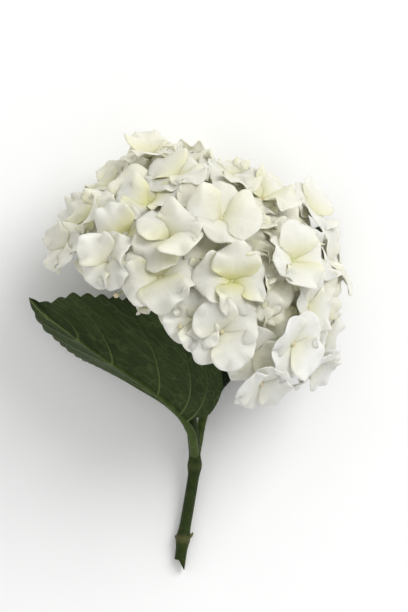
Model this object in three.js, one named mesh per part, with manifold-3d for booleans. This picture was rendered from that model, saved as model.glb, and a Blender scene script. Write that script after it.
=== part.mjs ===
// A cut mophead hydrangea lying on a flat surface: one stem with a pair of leaves and one flower head.
// Millimetres, +Z up. The origin is on the surface, under the middle of the whole flower.
// The head lies on its side with its axis raised, the cut end of the stem touches the surface,
// one leaf stands folded over the stem and the other lies flat under the head.

import * as THREE from "three";
import { mergeVertices } from "three/addons/utils/BufferGeometryUtils.js";
import Module from "manifold-3d";

const wasm = await Module();
wasm.setup();

// ---- Driving dimensions ----

// Flower head: a dome, flatter below its equator than above.
const HEAD_CENTRE = new THREE.Vector3(5, 40.5, 61);
const HEAD_TURN = 60; // degrees from +X to the axis, seen from above
const HEAD_RISE = 28; // degrees that the axis rises from the surface
const HEAD_RADIUS = 78; // equator, to the middle of the florets
const HEAD_ABOVE = 60; // pole to equator
const HEAD_BELOW = 16; // equator to the hollow underside
const UNDERSIDE_EDGE = -0.34; // florets stop where the direction from the centre falls below this,
const UPPER_EDGE_RISE = 0.5; // and sooner on the side that faces up
const FLORET_SPACING = 22.5; // least distance between neighbouring florets
const SPIRAL_POINTS = 130; // trial places of the spiral that fills the head
const LEVEL_STEP = 4.2; // florets stand in three levels, so that neighbours lap over each other
const LEVEL_REACH = 40; // florets nearer than this count as neighbours
const FLOOR_SPOT = 21.5; // round the lowest point, florets are pressed flat on the surface
const FLOOR_CLEAR = 4.2; // elsewhere florets stay this high, over the leaf that lies there
const LOW_MIDDLE = 3.4; // the least height of a floret's middle over what it lies on
const PRESSED_GAP = 1.1; // height between two sepals that are pressed flat one over the other

// Florets: four sepals in two opposite pairs, a round bud in the middle and a thin stalk.
const SEPAL_LENGTH = 20.5;
const SEPAL_WIDTH = 23;
const SEPAL_THICKNESS = 0.8;
const PAIR_GAP = 1.7; // the upper pair lies this far over the lower pair
const CUP = { low: 5, high: 10, spread: 7, pair: 7 }; // slopes of the sepals, in degrees
const BUD_RADIUS = 1.7;
const STALK_RADIUS = 0.85;

// Stalks: rays spread from the top of the stem and fork into the florets' stalks.
const NECK_DEPTH = 20; // from the head's centre back to where the rays begin
const NECK_RADIUS = 4.6;
const CORE = { radius: 55, above: 45, below: 4, sides: 12 }; // the crowded inside, as one body
const RAY_COUNT = 9;
const RAY_REACH = 0.52; // share of the way to the dome where a ray forks
const RAY_RADIUS = [2.0, 1.4];

// Stem.
const STEM_RADIUS = 3.0;
const STEM_SIDES = 10;
const STEM_STEPS = 34;
const CUT_SLANT = 1.45; // how far the cut runs back along the stem for each mm across it
const NODE_SWELLING = 0.9;
const NODE_LENGTH = 4; // half length of a swelling

// Leaves.
const LEAF_WIDTH = 39.5; // midrib to margin at the widest place
const LEAF_THICKNESS = 0.8;
const LEAF_TEETH = 16; // on each side
const TOOTH_DEPTH = 1.8;
const VEIN_FEET = [0.02, 0.07, 0.22, 0.48, 0.67, 0.85]; // where side veins leave the midrib
const VEIN_THICKNESS = 1.7;
const MIDRIB_THICKNESS = [3.2, 1.2];
const PETIOLE_RADIUS = [2.3, 1.9];

const SEAT_GAP = 0.3; // pieces that touch keep this gap
const SMALLEST_STEP = 0.02; // detail finer than this is dropped where pieces are joined
const CENTRING = [1.0, -0.8, 0]; // moves the whole flower so that its box is centred on the origin

// ---- Small tools ----

const rad = THREE.MathUtils.degToRad;
const vec = (x, y, z) => new THREE.Vector3(x, y, z);
const mix = (a, b, t) => a + (b - a) * t;

// The same run of numbers every time, each from 0 to 1.
function randomRun(seed) {
  let state = seed;
  return () => {
    state = (state * 16807) % 2147483647;
    return state / 2147483647;
  };
}

const HEAD_AXIS = vec(
  Math.cos(rad(HEAD_RISE)) * Math.cos(rad(HEAD_TURN)),
  Math.cos(rad(HEAD_RISE)) * Math.sin(rad(HEAD_TURN)),
  Math.sin(rad(HEAD_RISE)),
);
const HEAD_SIDE = vec(Math.sin(rad(HEAD_TURN)), -Math.cos(rad(HEAD_TURN)), 0);
const HEAD_FRONT = HEAD_SIDE.clone().cross(HEAD_AXIS);

// A closed solid from rings of points; a ring may be one point.
function loft(rings) {
  const points = [];
  const faces = [];
  const starts = rings.map((ring) => {
    const start = points.length;
    points.push(...ring);
    return start;
  });
  for (let i = 0; i + 1 < rings.length; i++) {
    const [m, n] = [rings[i].length, rings[i + 1].length];
    const [a, b] = [starts[i], starts[i + 1]];
    for (let k = 0; k < Math.max(m, n); k++) {
      const [p, q] = [a + (k % m), a + ((k + 1) % m)];
      const [r, s] = [b + (k % n), b + ((k + 1) % n)];
      if (m > 1) faces.push([p, q, r]);
      if (n > 1) faces.push([q, s, r]);
    }
  }
  const cap = (start, count, turned) => {
    for (let k = 1; k + 1 < count; k++)
      faces.push(turned ? [start, start + k + 1, start + k] : [start, start + k, start + k + 1]);
  };
  cap(starts[0], rings[0].length, true);
  cap(starts[rings.length - 1], rings[rings.length - 1].length, false);
  return geometryOf(points, faces);
}

function geometryOf(points, faces) {
  const geometry = new THREE.BufferGeometry().setFromPoints(points);
  geometry.setIndex(faces.flat());
  return geometry;
}

// A ring of points round a centre, square to a direction.
function ringAt(centre, direction, radius, sides, slant = 0) {
  const along = direction.clone().normalize();
  const side = vec(0, 0, 1).cross(along);
  if (side.length() < 0.05) side.set(1, 0, 0);
  side.normalize();
  const up = along.clone().cross(side);
  return Array.from({ length: sides }, (_, k) => {
    const angle = (2 * Math.PI * k) / sides;
    const across = Math.cos(angle) * radius;
    return centre
      .clone()
      .addScaledVector(side, across)
      .addScaledVector(up, Math.sin(angle) * radius)
      .addScaledVector(along, across * slant);
  });
}

// A round rod along a curve, with its radius given along the way.
function rod(curve, radiusAt, steps, sides, startSlant = 0) {
  const rings = [];
  for (let i = 0; i <= steps; i++) {
    const t = i / steps;
    const slant = i === 0 ? startSlant : 0;
    rings.push(ringAt(curve.getPointAt(t), curve.getTangentAt(t), radiusAt(t), sides, slant));
  }
  return loft(rings);
}

// A closed thin sheet from the faces of its middle surface, thickened along the normals; the
// thickness is one number or one for each point. What would go under the floor is pressed flat on it.
function sheet(points, faces, thickness, floors = 0) {
  const thick = (k) => thickness[k] ?? thickness;
  const floor = (k) => floors[k] ?? floors;
  const normals = points.map(() => vec(0, 0, 0));
  for (const [a, b, c] of faces) {
    const n = points[b].clone().sub(points[a]).cross(points[c].clone().sub(points[a]));
    for (const k of [a, b, c]) normals[k].add(n);
  }
  const over = points.map((p, k) => p.clone().addScaledVector(normals[k].normalize(), thick(k) / 2));
  const under = points.map((p, k) => p.clone().addScaledVector(normals[k], -thick(k) / 2));
  over.forEach((p, k) => press(p, under[k], thick(k), floor(k)));
  const n = points.length;
  const all = [...faces, ...faces.map(([a, b, c]) => [a + n, c + n, b + n])];
  const edges = new Map();
  for (const face of faces)
    face.forEach((a, i) => {
      const b = face[(i + 1) % 3];
      if (edges.has(b + ":" + a)) edges.delete(b + ":" + a);
      else edges.set(a + ":" + b, [a, b]);
    });
  for (const [a, b] of edges.values()) all.push([b, a, a + n], [b, a + n, b + n]);
  return geometryOf([...over, ...under], all);
}

function press(p, q, thickness, floor) {
  const [low, high] = p.z < q.z ? [p, q] : [q, p];
  if (low.z > floor) return;
  low.z = floor;
  high.z = Math.max(high.z, floor + Math.min(thickness, LEAF_THICKNESS));
}

function solidOf(geometry) {
  const bare = new THREE.BufferGeometry();
  bare.setAttribute("position", geometry.getAttribute("position"));
  bare.setIndex(geometry.index);
  const merged = mergeVertices(bare, 1e-4);
  return new wasm.Manifold(
    new wasm.Mesh({
      numProp: 3,
      vertProperties: new Float32Array(merged.attributes.position.array),
      triVerts: new Uint32Array(merged.index.array),
    }),
  );
}

function geometryFrom(solid) {
  const mesh = solid.getMesh();
  const geometry = new THREE.BufferGeometry();
  geometry.setAttribute("position", new THREE.BufferAttribute(mesh.vertProperties, 3));
  geometry.setIndex(new THREE.BufferAttribute(mesh.triVerts, 1));
  return geometry;
}

// One body from many; crumbs that the joining leaves behind are dropped.
function fuse(geometries) {
  const whole = geometries.map(solidOf).reduce((a, b) => a.add(b)).simplify(SMALLEST_STEP);
  return whole.decompose().reduce((a, b) => (a.volume() > b.volume() ? a : b));
}

// ---- Stem ----

const NECK = HEAD_CENTRE.clone().addScaledVector(HEAD_AXIS, -NECK_DEPTH);
const STEM_TOP = NECK.clone().addScaledVector(HEAD_AXIS, -NECK_RADIUS * 0.7 - SEAT_GAP);
const STEM_PATH = new THREE.CatmullRomCurve3([
  vec(-6.2, -115.5, 3.1),
  vec(-3.9, -99.6, 4),
  vec(-1.7, -86.9, 4.8),
  vec(0.6, -73.2, 7),
  vec(2.1, -62.2, 9.4),
  vec(2.1, -53.9, 12),
  vec(0, -34.7, 17.5),
  vec(-4.5, -14, 22),
  vec(-8.3, 3.5, 31),
  STEM_TOP.clone().addScaledVector(HEAD_AXIS, -9),
  STEM_TOP,
]);
const LOWER_NODE = 0.085; // places along the stem, as a share of its length
const UPPER_NODE = 0.362;

function bump(t, place) {
  const away = ((t - place) * STEM_PATH.getLength()) / NODE_LENGTH;
  return Math.exp(-away * away);
}

function stemRadius(t) {
  const swelling = NODE_SWELLING * (bump(t, LOWER_NODE) + bump(t, UPPER_NODE));
  return STEM_RADIUS + swelling;
}

// A short pointed bud or stub where a leaf has grown, on one side of a node.
function nodeBud(place, side, length, radius) {
  const from = STEM_PATH.getPointAt(place);
  const out = side.clone().multiplyScalar(length);
  const lean = STEM_PATH.getTangentAt(place).multiplyScalar(length * 0.55);
  const middle = from.clone().add(out.clone().multiplyScalar(0.85));
  const tip = from.clone().add(out).add(lean);
  const curve = new THREE.QuadraticBezierCurve3(from, middle, tip);
  return rod(curve, (t) => radius * (1 - 0.75 * t * t), 3, 6);
}

function makeStem() {
  const main = rod(STEM_PATH, stemRadius, STEM_STEPS, STEM_SIDES, CUT_SLANT);
  const right = vec(1, 0.12, 0);
  return fuse([
    main,
    nodeBud(LOWER_NODE, right, 5.2, 1.5),
    nodeBud(LOWER_NODE, right.clone().negate(), 4.6, 1.6),
  ]);
}

// ---- Leaves ----

// The blade is laid out in columns that run from the midrib out to the margin, sweeping to the tip.
const LEAF_COLUMNS = LEAF_TEETH * 2;
const LEAF_ROWS = [0, 0.07, 0.4, 0.72, 1];
const FOOT_POWER = 1.7;

// Where a column leaves the midrib and where it meets the margin, as shares of the blade's length.
const footAt = (q) => mix(0.015, 0.985, Math.pow(q, FOOT_POWER));
const headAt = (q, half) => mix(half.heel, 1, Math.pow(q, 0.85));

const VEIN_COLUMNS = VEIN_FEET.map((foot) => {
  const share = Math.pow((foot - 0.015) / 0.97, 1 / FOOT_POWER);
  return Math.round(LEAF_COLUMNS * share);
});

// Half width of the blade at a column's margin end.
function halfWidth(q, half) {
  const shape = (x) => Math.pow(x, half.rise) * Math.pow(1 - x, half.fall);
  const taper = 1 - half.taper * THREE.MathUtils.smoothstep(q, 0.78, 0.97);
  const full = shape(half.rise / (half.rise + half.fall));
  return (LEAF_WIDTH * half.span * taper * shape(mix(half.base, 0.997, q))) / full;
}

// The blade's surface: x runs along the midrib and y across it, both on the flat leaf.
// The two halves fold about the midrib by their own angles.
function bladeSurface(leaf, midrib, start) {
  const length = midrib.getLength() * (1 - start);
  return (x, y) => {
    const share = Math.min(Math.max(x / length, 0), 1);
    const t = mix(start, 1, share);
    const along = midrib.getTangentAt(t);
    const side = along.clone().cross(leaf.facing).normalize();
    const out = side.clone().cross(along);
    const half = y > 0 ? leaf.right : leaf.left;
    const settled = THREE.MathUtils.smoothstep(share, half.from, half.to);
    const fold = rad(mix(half.foldBase, half.foldTip, settled));
    const reach = Math.abs(y) / LEAF_WIDTH;
    const turn = fold + rad(half.curl) * reach;
    const wave = half.wave * reach * reach * Math.sin(share * 17 + (y > 0 ? 0 : 2));
    return midrib
      .getPointAt(t)
      .addScaledVector(along, x - share * length)
      .addScaledVector(side, y * Math.cos(turn))
      .addScaledVector(out, Math.abs(y) * Math.sin(turn) + wave);
  };
}

// A point of the blade's net, at a column and row, on the right (0) or left (1) of the midrib.
function netPoint(leaf, surface, length, column, row, side) {
  const q = column / LEAF_COLUMNS;
  const half = side === 0 ? leaf.right : leaf.left;
  const sign = side === 0 ? 1 : -1;
  const margin = halfWidth(q, half);
  const share = mix(footAt(q), headAt(q, half), Math.pow(row, 1.35));
  const fade = row === 1 ? Math.min(1, margin / 9) : 0;
  const tooth = (column % 2 ? 0.5 : -0.5) * TOOTH_DEPTH * fade;
  const forward = (column % 2 ? 0.8 : 0) * TOOTH_DEPTH * fade;
  return surface(share * length + forward, sign * (margin * row + tooth));
}

function netThickness(column, r) {
  if (r === 0) return mix(MIDRIB_THICKNESS[0], MIDRIB_THICKNESS[1], column / LEAF_COLUMNS);
  const inner = r < LEAF_ROWS.length - 1;
  return inner && VEIN_COLUMNS.includes(column) ? VEIN_THICKNESS : LEAF_THICKNESS;
}

function makeBlade(leaf, midrib, start) {
  const surface = bladeSurface(leaf, midrib, start);
  const length = midrib.getLength() * (1 - start);
  const points = [];
  const thick = [];
  const place = new Map();
  for (let c = 0; c <= LEAF_COLUMNS; c++)
    LEAF_ROWS.forEach((row, r) => {
      for (const side of r === 0 ? [0] : [0, 1]) {
        place.set([c, r, side].join(), points.length);
        points.push(netPoint(leaf, surface, length, c, row, side));
        thick.push(netThickness(c, r));
      }
    });
  const index = (c, r, side) => place.get([c, r, r === 0 ? 0 : side].join());
  const faces = [];
  for (let c = 0; c < LEAF_COLUMNS; c++)
    for (let r = 0; r + 1 < LEAF_ROWS.length; r++)
      for (const side of [0, 1]) {
        const [a, b] = [index(c, r, side), index(c + 1, r, side)];
        const [d, e] = [index(c, r + 1, side), index(c + 1, r + 1, side)];
        if (side === 0) faces.push([a, b, d], [b, e, d]);
        else faces.push([a, d, b], [b, d, e]);
      }
  return sheet(points, faces, thick);
}

// A leaf: its stalk runs on a little way under the blade's midrib.
function makeLeaf(leaf) {
  const midrib = new THREE.CatmullRomCurve3(leaf.midrib);
  const start = leaf.petiole / midrib.getLength();
  const last = leaf.midrib.length - 1;
  const route = leaf.midrib.map((_, k) => midrib.getPointAt((start * 1.25 * k) / last));
  const radiusAt = (t) => mix(PETIOLE_RADIUS[0], PETIOLE_RADIUS[1], t) * (t > 0.9 ? 0.7 : 1);
  const petiole = rod(new THREE.CatmullRomCurve3(route), radiusAt, 8, 7);
  return fuse([makeBlade(leaf, midrib, start), petiole]);
}

// Each half's shape: heel and base say where its margin begins and how wide it is there, rise and
// fall how round it is towards the base and the tip, and taper how far the tip is drawn in.
const FRONT_RIGHT = { heel: 0.03, base: 0.006, rise: 0.35, fall: 1, taper: 0.55, span: 1.08 };
const FRONT_LEFT = { heel: 0.08, base: 0.04, rise: 0.5, fall: 0.8, taper: 0.1, span: 0.85 };
const BACK_RIGHT = { heel: 0.15, base: 0.04, rise: 0.45, fall: 0.8, taper: 0.4, span: 0.9 };
const BACK_LEFT = { heel: 0.15, base: 0.04, rise: 0.45, fall: 0.8, taper: 0.4, span: 0.5 };

const LEAF_FRONT = {
  midrib: [
    vec(2.2, -56, 12),
    vec(1.6, -49, 18.5),
    vec(0.2, -42.4, 22.5),
    vec(-9.9, -28.6, 31.5),
    vec(-30.9, -12.5, 41),
    vec(-53.5, 2.8, 44.5),
    vec(-72, 16.5, 40.5),
    vec(-81.7, 23.8, 35.5),
    vec(-89.8, 32.7, 29),
  ],
  petiole: 23,
  facing: vec(-0.1, -0.1, 1).normalize(),
  right: { ...FRONT_RIGHT, foldBase: 8, foldTip: -6, from: 0.1, to: 0.9, curl: -4, wave: 1.6 },
  left: { ...FRONT_LEFT, foldBase: -77, foldTip: -5, from: 0.25, to: 2.3, curl: -2, wave: 1.2 },
};

const LEAF_BACK = {
  midrib: [
    vec(2.6, -56, 10),
    vec(4.2, -48, 7),
    vec(6.5, -36, 3.4),
    vec(12.9, -19, 1.6),
    vec(26.1, 6.6, 1.3),
    vec(45, 33, 1.3),
    vec(65, 57.5, 1.3),
    vec(80.3, 75.6, 2.4),
  ],
  petiole: 27,
  facing: vec(0, 0, 1),
  right: { ...BACK_RIGHT, foldBase: 74, foldTip: 2, from: 0.22, to: 0.56, curl: 0, wave: 0.4 },
  left: { ...BACK_LEFT, foldBase: 6, foldTip: 0, from: 0, to: 1, curl: 0, wave: 0.4 },
};

// ---- Flower head ----

// A point on the dome in a direction from its centre, in the head's own frame: x side, y front, z axis.
function domePoint(d, lift) {
  const deep = d.z > 0 ? HEAD_ABOVE : HEAD_BELOW;
  const p = vec(d.x * HEAD_RADIUS, d.y * HEAD_RADIUS, d.z * deep);
  const n = vec(d.x / HEAD_RADIUS, d.y / HEAD_RADIUS, d.z / deep).normalize();
  return { point: p.addScaledVector(n, lift), normal: n };
}

const toWorld = (v) =>
  vec(0, 0, 0)
    .addScaledVector(HEAD_SIDE, v.x)
    .addScaledVector(HEAD_FRONT, v.y)
    .addScaledVector(HEAD_AXIS, v.z);

// The lowest point of the dome, where the head rests.
const LOWEST = (() => {
  const [axial, across] = [HEAD_BELOW ** 2 * HEAD_AXIS.z, HEAD_RADIUS ** 2];
  const down = HEAD_AXIS.clone().multiplyScalar(axial - across * HEAD_AXIS.z).add(vec(0, 0, across));
  const reach = Math.sqrt(down.z);
  return HEAD_CENTRE.clone().addScaledVector(down, -1 / reach);
})();
const RESTING_FLORET = { turn: 25, size: 1.05, level: 0 };

// The florets that face up, by the place of each one's middle seen from above, the turn of its
// first sepal in degrees, its size and its level.
const TOP_FLORETS = [
  { x: 55.3, y: 8.2, turn: 40, size: 1.0, level: 1 },
  { x: 17.3, y: 14.9, turn: 30, size: 1.02, level: 0 },
  { x: 38, y: -13, turn: 55, size: 0.93, level: 1 },
  { x: 54.2, y: 51.7, turn: 20, size: 1.08, level: 1 },
  { x: 20.7, y: 41.2, turn: 5, size: 1.08, level: 0 },
  { x: 15.7, y: 74.3, turn: 80, size: 1.08, level: 1 },
  { x: -6.6, y: 96.8, turn: 45, size: 1.0, level: 0 },
  { x: -22.3, y: 108.4, turn: 10, size: 1.0, level: 1 },
  { x: -22.3, y: 80.9, turn: 70, size: 1.02, level: -1 },
  { x: -34.4, y: 65.5, turn: 30, size: 1.0, level: 0 },
  { x: -10.2, y: 64.4, turn: 45, size: 1.1, level: 1 },
  { x: -16.8, y: 42.4, turn: 20, size: 1.08, level: 0 },
  { x: 39.4, y: 86.4, turn: 60, size: 1.0, level: 0 },
  { x: 77.9, y: 52.3, turn: 50, size: 1.0, level: 0 },
  { x: -65.5, y: 59, turn: 15, size: 0.85, level: 1 },
  { x: -60.8, y: 78.1, turn: 65, size: 0.92, level: -1 },
  { x: -41.5, y: 51, turn: 35, size: 0.9, level: 1 },
  { x: 64.7, y: 79.8, turn: 10, size: 1.0, level: 1 },
  { x: 22.8, y: 96.3, turn: 25, size: 0.95, level: 0 },
  { x: -42, y: 92, turn: 38, size: 0.9, level: -1 },
  { x: 61.9, y: 28.6, turn: 75, size: 0.95, level: -1 },
  { x: 69, y: -6, turn: 20, size: 0.95, level: 0 },
  { x: 1.4, y: 21.5, turn: 15, size: 0.86, level: -1 },
  { x: 73.4, y: 29.7, turn: 35, size: 0.85, level: -1 },
  { x: 74.5, y: 11.6, turn: 60, size: 0.9, level: -1 },
  { x: -52.5, y: 74.3, turn: 35, size: 0.88, level: 0 },
  { x: 32.7, y: 2.8, turn: 70, size: 0.9, level: -1 },
  { x: 19.5, y: 106, turn: 50, size: 0.85, level: -1 },
  { x: 4, y: 108, turn: 20, size: 0.85, level: -1 },
];

// The direction, in the dome's frame, that leads to a point on the dome.
function directionTo(point) {
  const p = point.clone().sub(HEAD_CENTRE);
  const height = p.dot(HEAD_AXIS);
  const deep = height > 0 ? HEAD_ABOVE : HEAD_BELOW;
  return vec(p.dot(HEAD_SIDE) / HEAD_RADIUS, p.dot(HEAD_FRONT) / HEAD_RADIUS, height / deep).normalize();
}

// The direction of the dome point that shows at a place seen from above.
function directionAt(x, y, lift) {
  let best = vec(0, 0, 1);
  let bestError = Infinity;
  const steps = 90;
  for (let i = 0; i <= steps; i++)
    for (let k = 0; k < 2 * steps; k++) {
      const polar = (Math.PI * i) / steps;
      const round = (Math.PI * k) / steps;
      const d = vec(
        Math.sin(polar) * Math.cos(round),
        Math.sin(polar) * Math.sin(round),
        Math.cos(polar),
      );
      const { point, normal } = domePoint(d, lift);
      if (toWorld(normal).z < -0.25) continue;
      const w = toWorld(point);
      const error = Math.hypot(w.x + HEAD_CENTRE.x - x, w.y + HEAD_CENTRE.y - y);
      if (error < bestError) [best, bestError] = [d, error];
    }
  return best;
}

// The level that the fewest neighbours share.
function freeLevel(here, places) {
  const crowd = (level) =>
    places
      .filter((p) => p.level === level)
      .reduce((sum, p) => sum + Math.max(0, LEVEL_REACH - p.spot.distanceTo(here)), 0);
  return [0, 1, -1].reduce((a, b) => (crowd(a) <= crowd(b) ? a : b));
}

// Every floret: its middle, outward normal, turn, size and level.
function floretPlaces(random) {
  const places = TOP_FLORETS.map((f) => {
    const d = directionAt(f.x, f.y, f.level * LEVEL_STEP);
    return { ...f, d, spot: domePoint(d, 0).point };
  });
  const low = directionTo(LOWEST);
  places.push({ ...RESTING_FLORET, d: low, spot: domePoint(low, 0).point });
  const golden = Math.PI * (3 - Math.sqrt(5));
  for (let k = 0; k < SPIRAL_POINTS; k++) {
    const z = 1 - (2 * (k + 0.5)) / SPIRAL_POINTS;
    const around = golden * k;
    const flat = Math.sqrt(1 - z * z);
    const d = vec(flat * Math.cos(around), flat * Math.sin(around), z);
    const [turn, size] = [random() * 90, mix(0.9, 1.04, random())];
    if (z < UNDERSIDE_EDGE + UPPER_EDGE_RISE * Math.max(0, d.y)) continue;
    const spot = domePoint(d, 0).point;
    if (places.some((p) => p.spot.distanceTo(spot) < FLORET_SPACING)) continue;
    places.push({ d, spot, turn, size, level: freeLevel(spot, places) });
  }
  return places.map((f) => {
    const { point, normal } = domePoint(f.d, f.level * LEVEL_STEP);
    const middle = toWorld(point).add(HEAD_CENTRE);
    middle.z = Math.max(middle.z, floorUnder(middle) + LOW_MIDDLE);
    return { ...f, middle, normal: toWorld(normal) };
  });
}

function floorUnder(p) {
  return Math.hypot(p.x - LOWEST.x, p.y - LOWEST.y) < FLOOR_SPOT ? 0 : FLOOR_CLEAR;
}

// Four sepals round a middle as one sheet. The second and fourth stand over the first and third,
// so that each side edge laps over or under its neighbour's.
function sepals(floret, frame, random) {
  const points = [floret.middle.clone()];
  const faces = [];
  const lobes = [0, 1, 2, 3].map((k) => {
    const upper = k % 2;
    const steep = CUP.high + CUP.low * floret.level + CUP.pair * upper + CUP.spread * random();
    return {
      turn: rad(floret.turn + 90 * k),
      reach: SEPAL_LENGTH * floret.size * mix(0.94, 1.06, random()),
      rise: rad(steep),
      bend: rad(mix(-12, -3, random())),
      wave: 6.3 * random(),
      lift: PAIR_GAP * upper,
    };
  });
  const half = (SEPAL_WIDTH / 2) * floret.size;
  // s runs from the floret's middle to the sepal's tip and t across it.
  const at = (lobe, s, t) => {
    const slope = lobe.rise + lobe.bend * s;
    const along = lobe.reach * s * Math.cos(slope);
    const across = half * t;
    const ripple = Math.sin(lobe.wave + 3 * t) * s * Math.abs(t);
    const up = lobe.reach * s * Math.sin(slope) + lobe.lift + ripple;
    const [c, n] = [Math.cos(lobe.turn), Math.sin(lobe.turn)];
    return floret.middle
      .clone()
      .addScaledVector(frame.u, along * c - across * n)
      .addScaledVector(frame.v, along * n + across * c)
      .addScaledVector(frame.n, up);
  };
  const edge = [
    [0.5, -1],
    [0.86, -0.68],
    [1, 0],
    [0.86, 0.68],
    [0.5, 1],
  ];
  const notch = (k) => 1 + 7 * ((k + 4) % 4);
  lobes.forEach((lobe) => {
    points.push(at({ ...lobe, lift: PAIR_GAP / 2 }, 0.17, -0.3));
    points.push(...edge.map(([s, t]) => at(lobe, s, t)));
    points.push(at(lobe, 0.56, 0));
  });
  for (const k of [0, 1, 2, 3]) {
    const centre = notch(k) + 6;
    const ring = [0, 1, 2, 3, 4, 5].map((i) => notch(k) + i).concat(notch(k + 1), 0);
    ring.forEach((a, i) => faces.push([centre, a, ring[(i + 1) % ring.length]]));
  }
  const inUpper = (k) => Math.floor((k - 1) / 7) % 2 === 1;
  const floors = points.map((p, k) => floorUnder(p) + (inUpper(k) ? 0 : PRESSED_GAP));
  return sheet(points, faces, SEPAL_THICKNESS, floors);
}

function floretSolids(floret, root, random) {
  const n = floret.normal.clone().normalize();
  const u = vec(1, 0, 0).addScaledVector(n, -n.x);
  if (u.length() < 0.3) u.set(0, 1, 0).addScaledVector(n, -n.y);
  u.normalize();
  const frame = { n, u, v: n.clone().cross(u) };
  const bud = floret.middle.clone().addScaledVector(n, BUD_RADIUS * 0.9);
  const stalk = loft([
    ringAt(root, floret.middle.clone().sub(root), STALK_RADIUS, 3),
    ringAt(floret.middle.clone().addScaledVector(n, -1), n, STALK_RADIUS, 3),
    ringAt(bud, n, BUD_RADIUS, 3),
    [bud.clone().addScaledVector(n, BUD_RADIUS)],
  ]);
  return [sepals(floret, frame, random), stalk];
}

// The core: a smaller dome inside the florets, flat underneath.
function coreSolid() {
  const ring = (height, radius) => {
    const centre = HEAD_CENTRE.clone().addScaledVector(HEAD_AXIS, height);
    return radius > 0 ? ringAt(centre, HEAD_AXIS, radius, CORE.sides) : [centre];
  };
  const { above, below, radius } = CORE;
  return loft([
    ring(below, radius * 0.55),
    ring(below * 2, radius),
    ring(above * 0.55, radius * 0.86),
    ring(above * 0.86, radius * 0.5),
    ring(above, 0),
  ]);
}

function makeHead() {
  const random = randomRun(20272);
  const florets = floretPlaces(random);
  const rays = Array.from({ length: RAY_COUNT }, (_, k) => {
    const z = k === 0 ? 1 : k % 2 ? 0.35 : 0.02;
    const around = (2 * Math.PI * k) / (RAY_COUNT - 1);
    const flat = Math.sqrt(1 - z * z);
    const dome = domePoint(vec(flat * Math.cos(around), flat * Math.sin(around), z), 0).point;
    const tip = NECK.clone().lerp(toWorld(dome).add(HEAD_CENTRE), RAY_REACH);
    return { tip };
  });
  const solids = rays.map(({ tip }) =>
    loft([
      ringAt(NECK, tip.clone().sub(NECK), RAY_RADIUS[0], 5),
      ringAt(tip, tip.clone().sub(NECK), RAY_RADIUS[1], 5),
    ]),
  );
  solids.push(coreSolid());
  const knob = [
    [-0.7, 0.75],
    [0, 1],
    [0.6, 0.7],
  ].map(([z, r]) =>
    ringAt(NECK.clone().addScaledVector(HEAD_AXIS, z * NECK_RADIUS), HEAD_AXIS, r * NECK_RADIUS, 8),
  );
  solids.push(loft(knob));
  for (const floret of florets) {
    const near = rays.reduce((a, b) =>
      a.tip.distanceTo(floret.middle) < b.tip.distanceTo(floret.middle) ? a : b,
    );
    const root = near.tip.clone().addScaledVector(floret.middle.clone().sub(near.tip).normalize(), -1.2);
    solids.push(...floretSolids(floret, root, random));
  }
  return fuse(solids);
}

// ---- The whole flower ----

const COLOURS = {
  stem: { color: 0x46602a, roughness: 0.55 },
  leaf_front: { color: 0x35482a, roughness: 0.5 },
  leaf_back: { color: 0x2f4226, roughness: 0.5 },
  flower_head: { color: 0xf3f2e4, roughness: 0.6 },
};

// The stem swollen by the seat gap, to hollow what sits against it.
function stemSeat() {
  return solidOf(rod(STEM_PATH, (t) => stemRadius(t) + SEAT_GAP, STEM_STEPS, STEM_SIDES));
}

const seat = stemSeat();
const solids = {
  stem: makeStem(),
  leaf_front: makeLeaf(LEAF_FRONT).subtract(seat),
  leaf_back: makeLeaf(LEAF_BACK).subtract(seat),
  flower_head: makeHead(),
};

const flower = new THREE.Group();
for (const [name, solid] of Object.entries(solids)) {
  const material = new THREE.MeshStandardMaterial({ ...COLOURS[name], metalness: 0 });
  const mesh = new THREE.Mesh(geometryFrom(solid).translate(...CENTRING), material);
  mesh.name = name;
  flower.add(mesh);
}

export default flower;
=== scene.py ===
"""A cut mophead hydrangea lying on a pale surface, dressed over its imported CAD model."""

import math

import bpy
import numpy as np
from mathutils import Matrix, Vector


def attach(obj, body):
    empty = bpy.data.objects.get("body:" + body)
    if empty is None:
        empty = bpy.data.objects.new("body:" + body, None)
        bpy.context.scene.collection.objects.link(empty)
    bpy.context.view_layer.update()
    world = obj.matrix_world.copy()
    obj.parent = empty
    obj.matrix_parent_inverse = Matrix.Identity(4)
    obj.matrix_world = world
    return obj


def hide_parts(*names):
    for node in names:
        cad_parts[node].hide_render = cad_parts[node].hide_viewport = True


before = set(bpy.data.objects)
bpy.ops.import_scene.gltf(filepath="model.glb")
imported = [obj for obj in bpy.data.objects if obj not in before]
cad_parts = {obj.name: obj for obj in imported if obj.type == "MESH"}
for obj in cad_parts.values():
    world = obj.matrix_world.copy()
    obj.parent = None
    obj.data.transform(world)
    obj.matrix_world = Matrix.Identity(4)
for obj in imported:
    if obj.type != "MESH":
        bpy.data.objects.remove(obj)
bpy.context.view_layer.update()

# ---- Dimensions: millimetres, as in the part's source, turned into metres when a mesh is made ----

MM = 0.001
CENTRING = np.array([1.0, -0.8, 0.0])  # moves the whole flower so that its box is centred on the origin

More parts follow.
